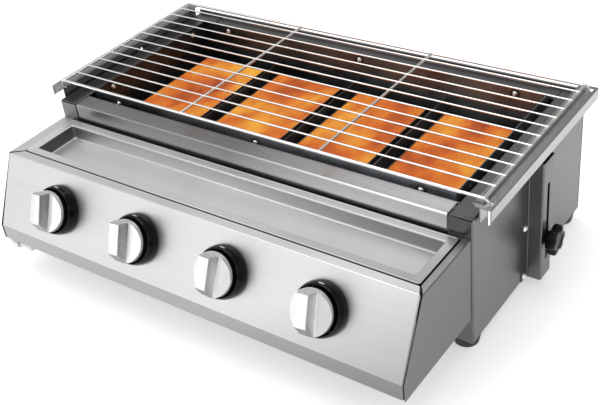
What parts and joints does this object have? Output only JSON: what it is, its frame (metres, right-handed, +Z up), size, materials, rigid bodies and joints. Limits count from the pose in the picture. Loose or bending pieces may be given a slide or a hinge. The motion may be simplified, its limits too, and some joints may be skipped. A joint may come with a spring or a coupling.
{
  "type": "table-top gas grill",
  "caption": "Table-top gas barbecue grill in stainless sheet: infrared burners under a height-adjustable wire grate, a sloping control housing with turning knobs, and a lift-out front tray.",
  "frame": {"origin": "on the surface the grill stands on, under the middle of its bounding box", "axes": "+X to the grill's right, +Y towards its back, +Z up; the knobs face -Y"},
  "size_m": [0.725, 0.4959, 0.2205],
  "materials": {
    "body_steel": "brushed stainless sheet",
    "fascia_steel": "fine brushed stainless sheet, grain along X",
    "tray_steel": "smooth pressed stainless sheet",
    "firebox_steel": "heat-darkened steel sheet",
    "burner_metal": "heat-tinted aluminised steel",
    "ceramic": "perforated ceramic, glowing",
    "bracket_steel": "brushed stainless sheet",
    "bezel_plastic": "glossy black moulding",
    "knob_black": "black moulding",
    "knob_silver": "satin silver",
    "valve_brass": "machined brass",
    "pipe_steel": "zinc-plated pipe",
    "wire_chrome": "bright chromed wire",
    "bolt_steel": "zinc-plated screws",
    "foot_rubber": "moulded rubber"
  },
  "bodies": {
    "root": {"back_panel": "body_steel", "base_plate": "body_steel", "bracket_screws": "bolt_steel", "burner_box_1": "burner_metal", "burner_box_2": "burner_metal", "burner_box_3": "burner_metal", "burner_box_4": "burner_metal", "burner_dividers": "firebox_steel", "burner_supports": "firebox_steel", "ceramic_tiles_1": "ceramic", "ceramic_tiles_2": "ceramic", "ceramic_tiles_3": "ceramic", "ceramic_tiles_4": "ceramic", "control_panel": "fascia_steel", "feet": "foot_rubber", "firebox_back_wall": "firebox_steel", "firebox_bolts": "bolt_steel", "firebox_front_wall": "firebox_steel", "firebox_left_wall": "firebox_steel", "firebox_right_wall": "firebox_steel", "foot_screws": "bolt_steel", "front_top_rail": "body_steel", "gas_inlet": "valve_brass", "gas_manifold": "pipe_steel", "hat_bracket_left": "bracket_steel", "hat_bracket_right": "bracket_steel", "housing_side_left": "body_steel", "housing_side_right": "body_steel", "housing_top_frame": "body_steel", "injector_jets": "valve_brass", "knob_bezel_1": "bezel_plastic", "knob_bezel_2": "bezel_plastic", "knob_bezel_3": "bezel_plastic", "knob_bezel_4": "bezel_plastic", "side_panel_left": "body_steel", "side_panel_right": "body_steel", "valve_body_1": "valve_brass", "valve_body_2": "valve_brass", "valve_body_3": "valve_brass", "valve_body_4": "valve_brass"},
    "stem_1": {"valve_stem_1": "valve_brass"},
    "knob_1": {"knob_skirt_1": "knob_black", "knob_cap_1": "knob_silver"},
    "stem_2": {"valve_stem_2": "valve_brass"},
    "knob_2": {"knob_skirt_2": "knob_black", "knob_cap_2": "knob_silver"},
    "stem_3": {"valve_stem_3": "valve_brass"},
    "knob_3": {"knob_skirt_3": "knob_black", "knob_cap_3": "knob_silver"},
    "stem_4": {"valve_stem_4": "valve_brass"},
    "knob_4": {"knob_skirt_4": "knob_black", "knob_cap_4": "knob_silver"},
    "lift_right": {"rail_right": "bracket_steel", "clamp_stud_right": "bolt_steel"},
    "lift_left": {"rail_left": "bracket_steel", "clamp_stud_left": "bolt_steel"},
    "clamp_right": {"star_knob_right": "knob_black"},
    "clamp_left": {"star_knob_left": "knob_black"},
    "grate": {"grate": "wire_chrome"},
    "tray": {"front_tray": "tray_steel"}
  },
  "joints": [
    {"name": "knob_1_turn", "type": "hinge", "parent": "root", "child": "stem_1", "pos_m": [-0.212, -0.198, 0.12405], "axis": [0, -0.9, 0.4359], "range_deg": [0, 180]},
    {"name": "knob_1_push", "type": "slide", "parent": "stem_1", "child": "knob_1", "axis": [0, 0.9, -0.4359], "range_m": [0, 0.003], "stiffness_N_per_m": 2000, "springref_m": -0.001},
    {"name": "knob_2_turn", "type": "hinge", "parent": "root", "child": "stem_2", "pos_m": [-0.072, -0.198, 0.12405], "axis": [0, -0.9, 0.4359], "range_deg": [0, 180]},
    {"name": "knob_2_push", "type": "slide", "parent": "stem_2", "child": "knob_2", "axis": [0, 0.9, -0.4359], "range_m": [0, 0.003], "stiffness_N_per_m": 2000, "springref_m": -0.001},
    {"name": "knob_3_turn", "type": "hinge", "parent": "root", "child": "stem_3", "pos_m": [0.068, -0.198, 0.12405], "axis": [0, -0.9, 0.4359], "range_deg": [0, 180]},
    {"name": "knob_3_push", "type": "slide", "parent": "stem_3", "child": "knob_3", "axis": [0, 0.9, -0.4359], "range_m": [0, 0.003], "stiffness_N_per_m": 2000, "springref_m": -0.001},
    {"name": "knob_4_turn", "type": "hinge", "parent": "root", "child": "stem_4", "pos_m": [0.208, -0.198, 0.12405], "axis": [0, -0.9, 0.4359], "range_deg": [0, 180]},
    {"name": "knob_4_push", "type": "slide", "parent": "stem_4", "child": "knob_4", "axis": [0, 0.9, -0.4359], "range_m": [0, 0.003], "stiffness_N_per_m": 2000, "springref_m": -0.001},
    {"name": "rail_right_lift", "type": "slide", "parent": "root", "child": "lift_right", "axis": [0, 0, 1], "range_m": [-0.006, 0.075]},
    {"name": "rail_left_lift", "type": "slide", "parent": "root", "child": "lift_left", "axis": [0, 0, 1], "range_m": [-0.006, 0.075]},
    {"name": "clamp_right_turn", "type": "hinge", "parent": "lift_right", "child": "clamp_right", "pos_m": [0.3535, 0.0955, 0.073], "axis": [1, 0, 0], "continuous": true},
    {"name": "clamp_left_turn", "type": "hinge", "parent": "lift_left", "child": "clamp_left", "pos_m": [-0.3535, 0.0955, 0.073], "axis": [-1, 0, 0], "continuous": true},
    {"name": "grate_lift_off", "type": "slide", "parent": "lift_right", "child": "grate", "axis": [0, 0, 1], "range_m": [0, 0.1]},
    {"name": "tray_lift_out", "type": "slide", "parent": "root", "child": "tray", "axis": [0, 0, 1], "range_m": [0, 0.08]}
  ],
  "couplings": [
    {"joint": "rail_left_lift", "follows": "rail_right_lift", "ratio": 1}
  ]
}
